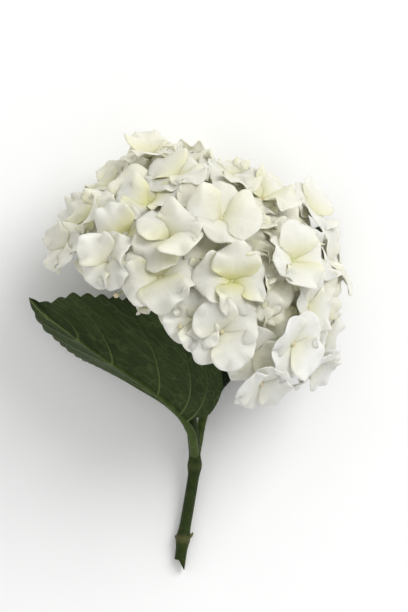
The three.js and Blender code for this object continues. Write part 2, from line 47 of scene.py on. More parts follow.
# Flower head: a dome, flatter below its equator than above.
HEAD_CENTRE = np.array([5.0, 40.5, 61.0])
HEAD_TURN = math.radians(60)
HEAD_RISE = math.radians(28)
HEAD_RADIUS = 78
HEAD_ABOVE = 60
HEAD_BELOW = 16
UNDERSIDE_EDGE = -0.34
UPPER_EDGE_RISE = 0.5
FACING_DOWN = -0.25  # a place whose normal rises less than this faces the surface
FLORET_SPACING = 22.5
SPIRAL_POINTS = 130
SPIRAL_SIZES = (0.9, 1.04)
LEVEL_STEP = 4.2
LEVEL_REACH = 40
FLOOR_SPOT = 21.5
FLOOR_CLEAR = 4.2
LOW_MIDDLE = 3.4
PRESSED_GAP = 1.1
FLOOR_GAP = 0.02
HEAD_SEED = 20272

# Sepals, buds and stalks.
SEPAL_LENGTH = 20.5
SEPAL_WIDTH = 23
SEPAL_THICKNESS = 0.42
PAIR_GAP = 1.7
CUP = dict(low=5, high=10, spread=7, pair=7)
REACH_SPREAD = (0.94, 1.06)
BEND = (-12, -3)
STEEP_BEND = -10
BUD_RADIUS = 1.55
NECK_DEPTH = 20
NECK_RADIUS = 4.6
RAY_COUNT = 9
RAY_HEIGHTS = (0.02, 0.35)  # how far rays point along the head's axis, in turn
RAY_REACH = 0.52
RAY_RADIUS = (2.0, 1.4)
STALK_RADIUS = 0.75
STALK_TAPER = (1.1, 0.8)
STALK_SAG = 1.8

# How a sepal is bent: each pair is for a flat floret and for a deeply cupped one.
FOOT_RISE = (8, 46)
TIP_DROP = (6, 40)
LENGTHEN = (1.02, 1.08)
RELIEF = (0.55, 1.25)
SIDEWAYS_SHORTER = 0.16
CREASE_DEPTH = 0.35
CREASE_WIDTH = 0.09
# Waves round its margin: how many and how high, each from and to.
RUFFLES = ((2.5, 4.5, 0.8, 2.0), (5, 8, 0.3, 0.9), (9, 14, 0.08, 0.35))
RUFFLE_HEIGHT = 1.3
# How far single sepals differ: shares of what they change, but degrees for the rise, radians for
# the turn, and millimetres for the troughs, the lean and the swing.
VARY = dict(
    outline=(0.02, 0.06),
    plumpness=(0.36, 0.5),
    width=(1.02, 1.16),
    rise=(-10, 14),
    foot=(0.8, 1.2),
    tip=(0.4, 1.6),
    foot_trough=(0.5, 5.0),
    tip_trough=(-5.0, 3.5),
    lean=(-3.6, 3.6),
    swing=(-2.5, 2.5),
    turn=(-0.1, 0.1),
)
FULL_TURN = 6.3  # radians, for random phases

# The outer florets, those that fill the gaps between them, and those deep inside. A net is the
# number of squares across a sepal, and a lean how far a floret that faces sideways turns up.
# The fillers' edge is how much further than the others they stay above the underside. The extra cream
# they get is painted shade of the gaps they sit in.
OUTER = dict(seed=11, net=15, lean=0.28, cup=(0.3, 0.9), green=(0.1, 0.6))
FILLER = dict(
    seed=23, points=400, spacing=12.5, edge=0.22, net=12, lean=0.5, size=(0.92, 1.12),
    cup=0.75, green=(0.2, 0.6), painted_shade_cream=0.5, rise=(20, 44), rise_step=9, flattest=-12,
    lift=-8, lift_spread=(-2, 2), sideways_lower=3.5,
)
# The inner florets' high cream and green are painted shade of the head's deep inside.
INNER = dict(
    seed=5, points=60, lowest=0.05, depth=(0.6, 0.7), net=8, size=(0.62, 0.8),
    cup=0.6, green=0.9, cream=(0.7, 1), tilt=(-0.2, 0.2), rise=(14, 32),
)

# What a filler's sepal must not stand up through: a shallow bowl round each outer floret. The
# probes are places on the sepal, as shares of its length along and across.
PROBES = ((0.45, 0), (0.7, 0), (1, 0), (0.7, 0.42), (0.7, -0.42))
PROBE_RISE = 8
BOWL = dict(radius=15.5, slope=0.3, depth=4.5, height=14)

# Small unopened buds on stalks of their own.
LOOSE_BUD = dict(seed=8, radius=1.5, stretch=1.1, lift=3, stalk=0.7)

# Creaminess of the sepals, from 0 to 1: more of it to the left and towards the top.
CREAM_MEAN = 0.42
CREAM_SLOPE = np.array([-0.002, 0.004])
CREAM_SPREAD = 0.2

# Stem.
STEM_RADIUS = 3.2
NODE_SWELLING = 0.9
NODE_LENGTH = 4
LOWER_NODE = 0.085
UPPER_NODE = 0.362
CUT_SLANT = 1.45
CUT_BEVEL = 0.93
STEM_LIFT = 0.1
SCAR_BROWN = (0.22, 0.1)  # at the lower node and at the upper one
NODE_SIDE = np.array([1, 0.12, 0])
NODE_BUDS = ((1, 5.2, 1.5), (-1, 4.6, 1.6))  # side, length and radius
SEAT_GAP = 0.3

# Leaves.
LEAF_WIDTH = 39.5
BLADE_THICKNESS = 0.5
LEAF_TEETH = 16
TOOTH_DEPTH = 1.8
TOOTH_SHARPNESS = 0.6
TOOTH_LEAN = 0.8
TOOTH_ROOM = 9  # half widths under this make the teeth smaller
VEIN_FEET = (0.02, 0.07, 0.22, 0.48, 0.67, 0.85)
VEIN_SWEEP = 5.5  # columns that a side vein gains on its way to the margin
VEIN_HALF_WIDTH = dict(side=(0.75, 0.35), main=(1.3, 0.35))
VEIN_HEIGHT = dict(side=0.7, main=0.5, between=-0.8, thicker=0.25)
FOOT_SPAN = (0.015, 0.985)
FOOT_POWER = 1.7
HEAD_POWER = 0.85
PETIOLE_RADIUS = (2.6, 2.3)
MIDRIB_RADIUS = (2.07, 0.3)
BLADE_WAVES = 17  # radians of waves along the blade
LEFT_WAVE_SHIFT = 2
FINE_COLUMNS = 8  # fine columns to each column of the part's source
FINE_ROWS = 32
MIDRIB_NET = dict(rings=80, sides=14)
STEM_NET = dict(rings=170, sides=24)

HEAD_AXIS = np.array([
    math.cos(HEAD_RISE) * math.cos(HEAD_TURN),
    math.cos(HEAD_RISE) * math.sin(HEAD_TURN),
    math.sin(HEAD_RISE),
])
HEAD_SIDE = np.array([math.sin(HEAD_TURN), -math.cos(HEAD_TURN), 0.0])
HEAD_FRAME = np.array([HEAD_SIDE, np.cross(HEAD_SIDE, HEAD_AXIS), HEAD_AXIS])
NECK = HEAD_CENTRE - HEAD_AXIS * NECK_DEPTH
STEM_TOP = NECK - HEAD_AXIS * (NECK_RADIUS * 0.7 + SEAT_GAP)

# The florets that face up: x and y seen from above, turn, size and level as in the part's source
# (a few sizes at the rim are a little off it), then how deeply the sepals are cupped, from 0 to
# 1.2, and how green the middle is, from 0 to 1: partly the floret's own green and partly painted
# shade of its depth.
TOP_FLORETS = [
    (55.3, 8.2, 40, 1.0, 1, 0.15, 0.35),
    (17.3, 14.9, 30, 1.02, 0, 0.45, 0.2),
    (38, -13, 55, 0.88, 1, 0.2, 0.1),
    (54.2, 51.7, 20, 1.08, 1, 0.5, 0.6),
    (20.7, 41.2, 5, 1.08, 0, 1.2, 1.0),
    (15.7, 74.3, 80, 1.08, 1, 0.6, 0.3),
    (-6.6, 96.8, 45, 1.0, 0, 0.9, 0.5),
    (-22.3, 108.4, 10, 0.88, 1, 0.8, 0.4),
    (-22.3, 80.9, 70, 1.02, -1, 1.2, 0.9),
    (-34.4, 65.5, 30, 1.0, 0, 1.2, 1.0),
    (-10.2, 64.4, 45, 1.1, 1, 1.2, 0.5),
    (-16.8, 42.4, 20, 1.08, 0, 1.15, 0.6),
    (39.4, 86.4, 60, 1.0, 0, 0.7, 0.5),
    (77.9, 52.3, 50, 1.14, 0, 0.2, 0.1),
    (-65.5, 59, 15, 0.8, 1, 0.6, 0.1),
    (-60.8, 78.1, 65, 0.92, -1, 0.9, 0.2),
    (-41.5, 51, 35, 0.9, 1, 1.1, 0.3),
    (64.7, 79.8, 10, 1.0, 1, 0.5, 0.5),
    (22.8, 96.3, 25, 0.95, 0, 0.7, 0.5),
    (-42, 92, 38, 0.9, -1, 0.8, 0.4),
    (61.9, 28.6, 75, 0.95, -1, 0.6, 0.4),
    (69, -6, 20, 0.95, 0, 0.3, 0.1),
    (1.4, 21.5, 15, 0.86, -1, 0.8, 0.3),
    (73.4, 29.7, 35, 0.85, -1, 0.4, 0.1),
    (74.5, 11.6, 60, 0.9, -1, 0.4, 0.2),
    (-52.5, 74.3, 35, 0.88, 0, 0.9, 0.6),
    (32.7, 2.8, 70, 0.9, -1, 0.5, 0.2),
    (19.5, 106, 50, 0.85, -1, 0.7, 0.4),
    (4, 108, 20, 0.85, -1, 0.7, 0.4),
]
RESTING_FLORET = (25, 1.05, 0, 0.2, 0.3)

# Small unopened buds that stand out at the left and along the lower edge, seen from above.
TOP_BUDS = [(-58.6, 93), (-67, 83), (-71, 73), (-53.6, 50), (-36.6, 34), (-8, 31), (-4, 18)]

STEM_PATH = [
    (-6.2, -115.5, 3.1),
    (-3.9, -99.6, 4),
    (-1.7, -86.9, 4.8),
    (0.6, -73.2, 7),
    (2.1, -62.2, 9.4),
    (2.1, -53.9, 12),
    (0, -34.7, 17.5),
    (-4.5, -14, 22),
    (-8.3, 3.5, 31),
    tuple(STEM_TOP - HEAD_AXIS * 9),
    tuple(STEM_TOP),
]

FRONT_RIGHT = dict(heel=0.0, base=0.006, rise=0.35, fall=1, taper=0.55, span=1.08)
FRONT_LEFT = dict(heel=0.08, base=0.04, rise=0.5, fall=0.8, taper=0.1, span=0.85)
BACK = dict(heel=0.15, base=0.04, rise=0.45, fall=0.8, taper=0.4, curl=0, wave=0.4)

LEAF_FRONT = {
    "midrib": [
        (2.2, -56, 12),
        (1.6, -49, 18.5),
        (0.2, -42.4, 22.5),
        (-9.9, -28.6, 31.5),
        (-30.9, -12.5, 41),
        (-53.5, 2.8, 44.5),
        (-72, 16.5, 40.5),
        (-81.7, 23.8, 35.5),
        (-89.8, 32.7, 29),
    ],
    "petiole": 23,
    "facing": (-0.1, -0.1, 1),
    "right": dict(FRONT_RIGHT, fold=(8, -6), settle=(0.1, 0.9), curl=-4, wave=1.6),
    "left": dict(FRONT_LEFT, fold=(-72, -5), settle=(0.25, 2.3), curl=-2, wave=1.2),
}
LEAF_BACK = {
    "midrib": [
        (2.6, -56, 10),
        (4.2, -48, 7),
        (6.5, -36, 3.4),
        (12.9, -19, 1.6),
        (26.1, 6.6, 1.3),
        (45, 33, 1.3),
        (65, 57.5, 1.3),
        (80.3, 75.6, 2.4),
    ],
    "petiole": 27,
    "facing": (0, 0, 1),
    "right": dict(BACK, span=0.9, fold=(74, 2), settle=(0.22, 0.56)),
    "left": dict(BACK, span=0.5, fold=(6, 0), settle=(0, 1)),
}

# View from straight above, from far off.
PIXEL = 0.55  # millimetres of the flower to one pixel
FRAME_HEIGHT = 612
CAMERA_RISE = 2600
FOCUS_HEIGHT = 60
VIEW_MIDDLE = (8.4, 27.3)
SENSOR = 36

# Ground and light, in metres and watts.
FLOOR_REACH = 3.0
SKY_STRENGTH = 0.72
KEY_LIGHT = dict(spot=(1.8, 1.7, 2.5), target=(0, 0.03, 0.05), size=2.0, power=72)


# ---- Small tools ----


def mix(a, b, t):
    return a + (b - a) * t


def unit(v):
    return v / np.linalg.norm(v)


def smoothstep(x, low, high):
    t = np.clip((x - low) / (high - low), 0, 1)
    return t * t * (3 - 2 * t)


def random_run(seed):
    """The same run of numbers as in the part's source, each from 0 to 1."""
    state = seed
    while True:
        state = (state * 16807) % 2147483647
        yield state / 2147483647


class Curve:
    """A centripetal Catmull-Rom curve through points, read by its share of length."""

    def __init__(self, points, samples=600):
        p = [np.array(q, float) for q in points]
        p = [2 * p[0] - p[1]] + p + [2 * p[-1] - p[-2]]
        spans = len(p) - 3
        dense = []
        for k in range(samples + 1):
            where = spans * k / samples
            i = min(int(where), spans - 1)
            dense.append(self.on_span(p[i : i + 4], where - i))
        self.points = np.array(dense)
        steps = np.linalg.norm(np.diff(self.points, axis=0), axis=1)
        self.shares = np.concatenate([[0], np.cumsum(steps)])
        self.length = self.shares[-1]
        self.shares /= self.length

    @staticmethod
    def on_span(p, w):
        d = [max(np.linalg.norm(p[i + 1] - p[i]) ** 0.5, 1e-6) for i in range(3)]
        step = p[2] - p[1]
        a = (p[1] - p[0]) / d[0] - (p[2] - p[0]) / (d[0] + d[1]) + step / d[1]
        b = step / d[1] - (p[3] - p[1]) / (d[1] + d[2]) + (p[3] - p[2]) / d[2]
        a, b = a * d[1], b * d[1]
        return p[1] + a * w + (3 * step - 2 * a - b) * w**2 + (a + b - 2 * step) * w**3

    def at(self, t):
        return np.stack([np.interp(t, self.shares, self.points[:, i]) for i in range(3)], axis=-1)

    def tangent(self, t):
        step = 0.002
        d = self.at(np.minimum(t + step, 1)) - self.at(np.maximum(t - step, 0))
        return d / np.linalg.norm(d, axis=-1, keepdims=True)


class Pile:
    """Points, faces and per-point values collected for one mesh."""

    def __init__(self):
        self.points, self.faces, self.values, self.count = [], [], [], 0

    def add(self, points, faces, values):
        points = np.asarray(points, float).reshape(-1, 3)
        self.points.append(points)
        self.values.append(np.asarray(values, float).reshape(-1, 3))
        self.faces += [tuple(i + self.count for i in f) for f in faces]
        self.count += len(points)


def add_object(name, data):
    obj = bpy.data.objects.new(name, data)
    bpy.context.scene.collection.objects.link(obj)
    return obj


def make(name, pile, material, node):
    """One object from a pile: in metres, smooth, riding on the root and replacing a node."""
    points = (np.concatenate(pile.points) + CENTRING) * MM
    mesh = bpy.data.meshes.new(name)
    mesh.from_pydata(points.tolist(), [], pile.faces)
    mesh.polygons.foreach_set("use_smooth", [True] * len(mesh.polygons))
    attribute = mesh.attributes.new("pattern", "FLOAT_VECTOR", "POINT")
    attribute.data.foreach_set("vector", np.concatenate(pile.values).ravel())
    mesh.update()
    mesh.materials.append(material)
    obj = add_object(name, mesh)
    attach(obj, "root")
    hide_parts(node)
    return obj


def grid_faces(rows, columns, start=0, flip=False):
    faces = []
    for r in range(rows - 1):
        for c in range(columns - 1):
            a = start + r * columns + c
            quad = (a, a + 1, a + columns + 1, a + columns)
            faces.append(quad[::-1] if flip else quad)
    return faces


def rim_loop(rows, columns):
    """The border of a grid of points, once round."""
    top = list(range(columns))
    right = [r * columns + columns - 1 for r in range(1, rows)]
    bottom = [(rows - 1) * columns + c for c in range(columns - 2, -1, -1)]
    left = [r * columns for r in range(rows - 2, 0, -1)]
    return top + right + bottom + left


def normals_of(grid):
    n = np.cross(np.gradient(grid, axis=0), np.gradient(grid, axis=1))
    return n / np.maximum(np.linalg.norm(n, axis=-1, keepdims=True), 1e-9)


def raised(over, under, low):
    """The two faces of a sheet, moved up together wherever one of them is below low."""
    lift = np.zeros_like(over)
    lift[..., 2] = np.clip(low - np.minimum(over[..., 2], under[..., 2]), 0, None)
    return over + lift, under + lift


def thick_sheet(pile, over, under, values):
    """A closed sheet from two grids of points. The first lies on the side of the grids' normals."""
    rows, columns = over.shape[:2]
    n = rows * columns
    faces = grid_faces(rows, columns, 0, True) + grid_faces(rows, columns, n)
    loop = rim_loop(rows, columns)
    for a, b in zip(loop, loop[1:] + loop[:1]):
        faces.append((a, b, b + n, a + n))
    points = np.concatenate([over.reshape(-1, 3), under.reshape(-1, 3)])
    pile.add(points, faces, np.concatenate([values.reshape(-1, 3)] * 2))


def ring_frames(centres):
    """Directions along, across and up at each point of a line."""
    along = np.gradient(centres, axis=0)
    along /= np.linalg.norm(along, axis=1, keepdims=True)
    side = np.cross([0, 0, 1.0], along)
    side[np.linalg.norm(side, axis=1) < 0.05] = [1, 0, 0]
    side /= np.linalg.norm(side, axis=1, keepdims=True)
    return along, side, np.cross(along, side)


def tube_faces(rings, sides):
    """Faces of a rod made of rings, closed at each end round a middle point."""
    faces = []
    last, start = (rings - 1) * sides, rings * sides
    for i in range(sides):
        j = (i + 1) % sides
        for a in range(0, last, sides):
            faces.append((a + i, a + j, a + sides + j, a + sides + i))
        faces += [(j, i, start), (last + i, last + j, start + 1)]
    return faces


def tube(pile, centres, radii, sides, values=None, slant=0.0, cut_value=None):
    """A closed round rod along a line. Its first end may be cut at a slant."""
    centres = np.asarray(centres, float)
    if values is None:
        values = np.zeros((len(centres), 3))
    along, side, up = ring_frames(centres)
    angles = np.linspace(0, 2 * np.pi, sides, endpoint=False)[:, None]

    def ring(k, radius):
        across = np.cos(angles) * radius
        lean = along[k] * across * (slant if k == 0 else 0)
        return centres[k] + side[k] * across + up[k] * np.sin(angles) * radius + lean

    rings = [ring(k, radius) for k, radius in enumerate(radii)]
    shades = [np.tile(v, (sides, 1)) for v in values]
    if cut_value is not None:
        rings.insert(0, ring(0, radii[0] * CUT_BEVEL))
        shades.insert(0, np.tile(cut_value, (sides, 1)))
    middles = [rings[0].mean(axis=0)[None], rings[-1].mean(axis=0)[None]]
    ends = [shades[0][:1], shades[-1][:1]]
    faces = tube_faces(len(rings), sides)
    pile.add(np.concatenate(rings + middles), faces, np.concatenate(shades + ends))


def ball(pile, centre, radius, axis, value, rings=8, sides=12, stretch=1.0):
    """A round bud with four shallow creases, a little longer or shorter along its axis."""
    side = unit(np.cross(axis, [0.3, 0.5, 0.8]))
    up = np.cross(axis, side)
    points = []
    for r in range(1, rings):
        a = math.pi * r / rings
        for k in range(sides):
            b = 2 * math.pi * k / sides
            flat = math.sin(a) * radius * (1 - 0.05 * math.cos(4 * b) ** 8 * math.sin(a))
            out = side * math.cos(b) * flat + up * math.sin(b) * flat
            points.append(centre + out - axis * math.cos(a) * radius * stretch)
    pole = axis * radius * stretch
    points += [centre - pole, centre + pole]
    pile.add(points, tube_faces(rings - 1, sides), [value] * len(points))


# ---- Materials: colours are linear red, green and blue ----

# The foot's yellow-green is partly the sepals' own green base and partly painted shade of the floret's
# depth.
SEPAL = dict(
    white=(0.80, 0.798, 0.762), cream=(0.81, 0.786, 0.60),
    foot=(0.70, 0.68, 0.25), vein=(0.67, 0.65, 0.46),
)
FRONT_LEAF = dict(dark=(0.024, 0.040, 0.011), light=(0.039, 0.060, 0.018), vein=(0.125, 0.175, 0.055))
# Painted shade: the back leaf's colours are a darker copy of the front's, partly its upper side's own
# deeper green and partly painted shade from the head above it.
SHADED_BACK_LEAF = dict(dark=(0.010, 0.019, 0.006), light=(0.019, 0.032, 0.010), vein=(0.050, 0.075, 0.026))
PETIOLE_GREENS = ((0.042, 0.070, 0.014), (0.072, 0.108, 0.026))
STEM_GREENS = ((0.014, 0.028, 0.003), (0.028, 0.046, 0.007))
FRECKLE = (0.13, 0.10, 0.04)
SCAR = (0.30, 0.24, 0.11)
FRESH_CUT = (0.27, 0.30, 0.15)
BUD_GREENS = ((0.46, 0.52, 0.26), (0.62, 0.64, 0.42))
BUD_BEIGE = (0.62, 0.50, 0.37)
STALK_GREENS = ((0.42, 0.50, 0.22), (0.58, 0.62, 0.38))
FLOOR_GREYS = ((0.93, 0.93, 0.93), (0.95, 0.95, 0.95))


class Nodes:
    """A material under construction, with short calls for its nodes."""

    def __init__(self, name, **shader):
        self.material = bpy.data.materials.new(name)
        self.material.use_nodes = True
        self.tree = self.material.node_tree
        self.tree.nodes.clear()
        self.shader = self.node("BsdfPrincipled", **shader)
        self.node("OutputMaterial", Surface=self.shader.outputs[0])

    def put(self, socket, value):
        if isinstance(value, bpy.types.NodeSocket):
            self.tree.links.new(value, socket)
        else:
            socket.default_value = value

    def node(self, kind, **inputs):
        """A new node, with a value or a link in each input that is named."""
        node = self.tree.nodes.new("ShaderNode" + kind)
        for name, value in inputs.items():
            self.put(node.inputs[name.replace("_", " ")], value)
        return node

    def pattern(self):
        """The three values that each point of a mesh carries."""
        node = self.node("Attribute")
        node.attribute_name = "pattern"
        return self.node("SeparateXYZ", Vector=node.outputs["Vector"]).outputs

    def place(self):
        return self.node("TexCoord").outputs["Object"]

    def join(self, x, y, z):
        return self.node("CombineXYZ", X=x, Y=y, Z=z).outputs[0]

    def math(self, operation, a, b=0.0, clamp=False):
        node = self.node("Math")
        node.operation = operation
        node.use_clamp = clamp
        self.put(node.inputs[0], a)
        self.put(node.inputs[1], b)
        return node.outputs[0]

    def times(self, a, b):
        return self.math("MULTIPLY", a, b)

    def plus(self, a, b, clamp=False):
        return self.math("ADD", a, b, clamp)

    def ramp(self, value, low, high, out_low=0.0, out_high=1.0):
        """value from low..high to out_low..out_high, smoothly."""
        limits = dict(From_Min=low, From_Max=high, To_Min=out_low, To_Max=out_high)
        node = self.node("MapRange", Value=value, **limits)
        node.interpolation_type = "SMOOTHSTEP"
        return node.outputs["Result"]

    def noise(self, vector, scale, detail):
        node = self.node("TexNoise", Vector=vector, Scale=scale, Detail=detail, Roughness=0.55)
        return node.outputs[0]

    def cells(self, vector, scale, feature="DISTANCE_TO_EDGE"):
        node = self.node("TexVoronoi", Vector=vector, Scale=scale)
        node.feature = feature
        return node.outputs[0]

    def blend(self, share, a, b):
        node = self.node("Mix")
        node.data_type = "RGBA"
        self.put(node.inputs[0], share)
        for socket, value in ((node.inputs[6], a), (node.inputs[7], b)):
            colour = value if isinstance(value, bpy.types.NodeSocket) else (*value, 1.0)
            self.put(socket, colour)
        return node.outputs[2]

    def bump(self, height, strength, distance):
        node = self.node("Bump", Strength=strength, Distance=distance, Height=height)
        self.put(self.shader.inputs["Normal"], node.outputs[0])

    def finish(self, colour, roughness):
        self.put(self.shader.inputs["Base Color"], colour)
        self.put(self.shader.inputs["Roughness"], roughness)
        return self.material


def sepal_material():
    """White sepals, cream to yellow-green towards the middle, with fine veins along them. The
    yellow-green at the foot is partly the sepals' own green base and partly painted shade of the
    floret's depth.

    The pattern holds x from the middle to the tip, y across, and z: whole part over 100 the sepal's
    creaminess, the rest how green its foot is."""
    glow = dict(Subsurface_Weight=0.45, Subsurface_Radius=(1.0, 0.97, 0.8), Subsurface_Scale=0.005)
    n = Nodes("sepal", **glow, Sheen_Weight=0.1, Specular_IOR_Level=0.25)
    along, across, tint = n.pattern()
    cream = n.times(n.math("FLOOR", tint), 0.01)
    green = n.math("FRACT", tint)
    seed = n.times(tint, 3.7)
    streak_place = n.join(n.times(along, 1.6), n.times(across, 5.5), seed)
    streaks = n.noise(streak_place, 3.2, 3.0)
    fine = n.noise(n.join(n.times(along, 3.0), n.times(across, 14.0), seed), 3.0, 2.0)
    cloud = n.noise(n.place(), 55.0, 3.0)
    warm = n.plus(n.times(cream, 0.8), n.times(n.ramp(cloud, 0.3, 0.7), 0.22), True)
    body = n.blend(warm, SEPAL["white"], SEPAL["cream"])
    # Painted shade: the yellow-green towards each sepal's foot is partly its own green base and partly
    # painted shade of the floret's depth.
    foot = n.ramp(n.plus(along, n.times(streaks, 0.22)), 0.12, 0.85, 1.0, 0.0)
    share = n.times(foot, n.plus(n.times(green, 0.9), 0.1))
    colour = n.blend(share, body, SEPAL["foot"])
    colour = n.blend(n.times(n.ramp(fine, 0.45, 0.75), 0.2), colour, SEPAL["vein"])
    n.bump(n.plus(n.times(fine, 0.6), streaks), 0.45, 0.0007)
    return n.finish(colour, n.ramp(streaks, 0.3, 0.7, 0.48, 0.64))


def leaf_material(name, colours):
    """Dull green with a net of lighter veins.

    The pattern holds x side veins along the leaf, y millimetres out from the midrib, and z how
    much of a vein the point is."""
    n = Nodes(name, Sheen_Weight=0.05, Sheen_Roughness=0.4, Specular_IOR_Level=0.14)
    along, out, main = n.pattern()
    wobble = n.noise(n.place(), 140.0, 2.0)
    rungs_x = n.plus(n.times(along, 1.5), n.times(wobble, 0.7))
    rungs_y = n.plus(n.times(out, 0.30), n.times(wobble, 1.2))
    rungs = n.ramp(n.cells(n.join(rungs_x, rungs_y, 0.0), 1.0), 0.0, 0.09, 1.0, 0.0)
    net = n.ramp(n.cells(n.join(rungs_x, rungs_y, 4.0), 2.6), 0.0, 0.12, 1.0, 0.0)
    small = n.plus(n.times(rungs, 0.6), n.times(net, 0.3), True)
    patches = n.ramp(n.noise(n.place(), 45.0, 4.0), 0.3, 0.7)
    colour = n.blend(patches, colours["dark"], colours["light"])
    colour = n.blend(n.times(small, 0.42), colour, colours["vein"])
    colour = n.blend(n.ramp(main, 0.15, 0.95, 0.0, 0.85), colour, colours["vein"])
    speckle = n.noise(n.place(), 900.0, 3.0)
    n.bump(n.plus(n.times(small, 0.8), n.times(speckle, 0.35)), 0.5, 0.0005)
    return n.finish(colour, n.ramp(speckle, 0.3, 0.7, 0.5, 0.68))


def stem_material(name, dark, light):
    """Green, streaked along, with brown freckles.

    The pattern holds x millimetres along and z how brown a place is; below 0 it is the pale cut."""
    n = Nodes(name, Subsurface_Weight=0.05, Subsurface_Scale=0.002, Specular_IOR_Level=0.15)
    along, _, brown = n.pattern()
    place = n.place()
    streaks = n.noise(place, 420.0, 3.0)
    freckles = n.ramp(n.cells(place, 330.0, "F1"), 0.08, 0.3, 1.0, 0.0)
    bands = n.noise(n.join(n.times(along, 0.05), 0.0, 0.0), 3.0, 2.0)
    mottle = n.plus(n.times(streaks, 0.5), n.times(bands, 0.5))
    colour = n.blend(n.ramp(mottle, 0.35, 0.65), dark, light)
    colour = n.blend(n.times(freckles, 0.2), colour, FRECKLE)
    colour = n.blend(n.math("MAXIMUM", brown, 0.0, True), colour, SCAR)
    colour = n.blend(n.times(n.math("MINIMUM", brown, 0.0), -1.0), colour, FRESH_CUT)
    n.bump(n.plus(n.times(streaks, 0.6), n.times(freckles, 0.5)), 0.4, 0.0005)
    return n.finish(colour, n.ramp(streaks, 0.3, 0.7, 0.42, 0.6))


def bud_material():
    """Small round buds, from yellow-green to a pinkish beige by the pattern's z."""
    n = Nodes("bud", Subsurface_Weight=0.2, Subsurface_Scale=0.002, Specular_IOR_Level=0.3)
    warm = n.pattern()[2]
    speckle = n.noise(n.place(), 900.0, 3.0)
    colour = n.blend(n.ramp(speckle, 0.35, 0.7), *BUD_GREENS)
    colour = n.blend(warm, colour, BUD_BEIGE)
    n.bump(speckle, 0.3, 0.0004)
    return n.finish(colour, n.ramp(speckle, 0.3, 0.7, 0.45, 0.62))


def stalk_material():
    n = Nodes("stalk", Subsurface_Weight=0.15, Subsurface_Scale=0.002, Specular_IOR_Level=0.3)
    grain = n.noise(n.place(), 500.0, 3.0)
    colour = n.blend(n.ramp(grain, 0.3, 0.7), *STALK_GREENS)
    n.bump(grain, 0.3, 0.0003)
    return n.finish(colour, n.ramp(grain, 0.3, 0.7, 0.5, 0.65))


def floor_material():
    n = Nodes("floor", Specular_IOR_Level=0.05)
    grain = n.noise(n.place(), 30.0, 3.0)
    colour = n.blend(grain, *FLOOR_GREYS)
    return n.finish(colour, n.ramp(grain, 0.3, 0.7, 0.85, 0.95))


# ---- Flower head: where the florets stand, by the rule of the part's source ----


def to_world(v):
    return v @ HEAD_FRAME


def dome_size(height):
    return np.array([HEAD_RADIUS, HEAD_RADIUS, HEAD_ABOVE if height > 0 else HEAD_BELOW])


def dome_point(d, lift):
    size = dome_size(d[2])
    normal = unit(d / size)
    return d * size + normal * lift, normal


def direction_to(point):
    p = HEAD_FRAME @ (point - HEAD_CENTRE)
    return unit(p / dome_size(p[2]))


def direction_grid(steps=90):
    polar = np.pi * np.arange(steps + 1) / steps
    around = np.pi * np.arange(2 * steps) / steps
    a, b = np.meshgrid(polar, around, indexing="ij")
    grid = np.stack([np.sin(a) * np.cos(b), np.sin(a) * np.sin(b), np.cos(a)], axis=-1)
    return grid.reshape(-1, 3)


DIRECTIONS = direction_grid()


def direction_at(x, y, lift):
    """The direction of the dome point that shows at a place seen from above."""
    deep = np.where(DIRECTIONS[:, 2] > 0, HEAD_ABOVE, HEAD_BELOW)
    wide = np.full(len(deep), HEAD_RADIUS)
    size = np.stack([wide, wide, deep], axis=1)
    normals = DIRECTIONS / size
    normals /= np.linalg.norm(normals, axis=1, keepdims=True)
    places = to_world(DIRECTIONS * size + normals * lift) + HEAD_CENTRE
    error = np.hypot(places[:, 0] - x, places[:, 1] - y)
    error[to_world(normals)[:, 2] < FACING_DOWN] = np.inf
    return DIRECTIONS[int(np.argmin(error))]


def lowest_point():
    axial, across = HEAD_BELOW**2 * HEAD_AXIS[2], HEAD_RADIUS**2
    down = HEAD_AXIS * (axial - across * HEAD_AXIS[2]) + np.array([0, 0, across])
    return HEAD_CENTRE - down / math.sqrt(down[2])


LOWEST = lowest_point()


def floor_under(p):
    near = np.hypot(p[..., 0] - LOWEST[0], p[..., 1] - LOWEST[1]) < FLOOR_SPOT
    return np.where(near, 0.0, FLOOR_CLEAR)


def free_level(here, places):
    """The level that the fewest neighbours share."""

    def crowd(level):
        gaps = [LEVEL_REACH - np.linalg.norm(p["spot"] - here) for p in places if p["level"] == level]
        return sum(max(0.0, g) for g in gaps)

    return min((0, 1, -1), key=crowd)


def spiral(points):
    golden = math.pi * (3 - math.sqrt(5))
    for k in range(points):
        z = 1 - (2 * (k + 0.5)) / points
        flat = math.sqrt(1 - z * z)
        yield np.array([flat * math.cos(golden * k), flat * math.sin(golden * k), z])


def below_edge(d, margin=0):
    """Whether a direction is on the bare underside, or less than a margin above it."""
    return d[2] - margin < UNDERSIDE_EDGE + UPPER_EDGE_RISE * max(0, d[1])


def crowded(spot, places, spacing):
    return any(np.linalg.norm(p["spot"] - spot) < spacing for p in places)


def place(d, turn, size, level, cup=None, green=None):
    spot = dome_point(d, 0)[0]
    return dict(d=d, spot=spot, turn=turn, size=size, level=level, cup=cup, green=green)


def settle(floret, lift):
    """Adds a floret's middle and outward normal, kept off what lies under the head."""
    point, normal = dome_point(floret["d"], lift)
    middle = to_world(point) + HEAD_CENTRE
    middle[2] = max(middle[2], float(floor_under(middle)) + LOW_MIDDLE)
    return dict(floret, middle=middle, normal=unit(to_world(normal)))


def lean_up(floret, share):
    """Turns a floret that faces sideways a little towards the sky."""
    normal = floret["normal"]
    if normal[2] < FACING_DOWN:
        return floret
    lean = np.array([0, 0, share * (1 - max(0.0, normal[2]))])
    return dict(floret, normal=unit(normal + lean))


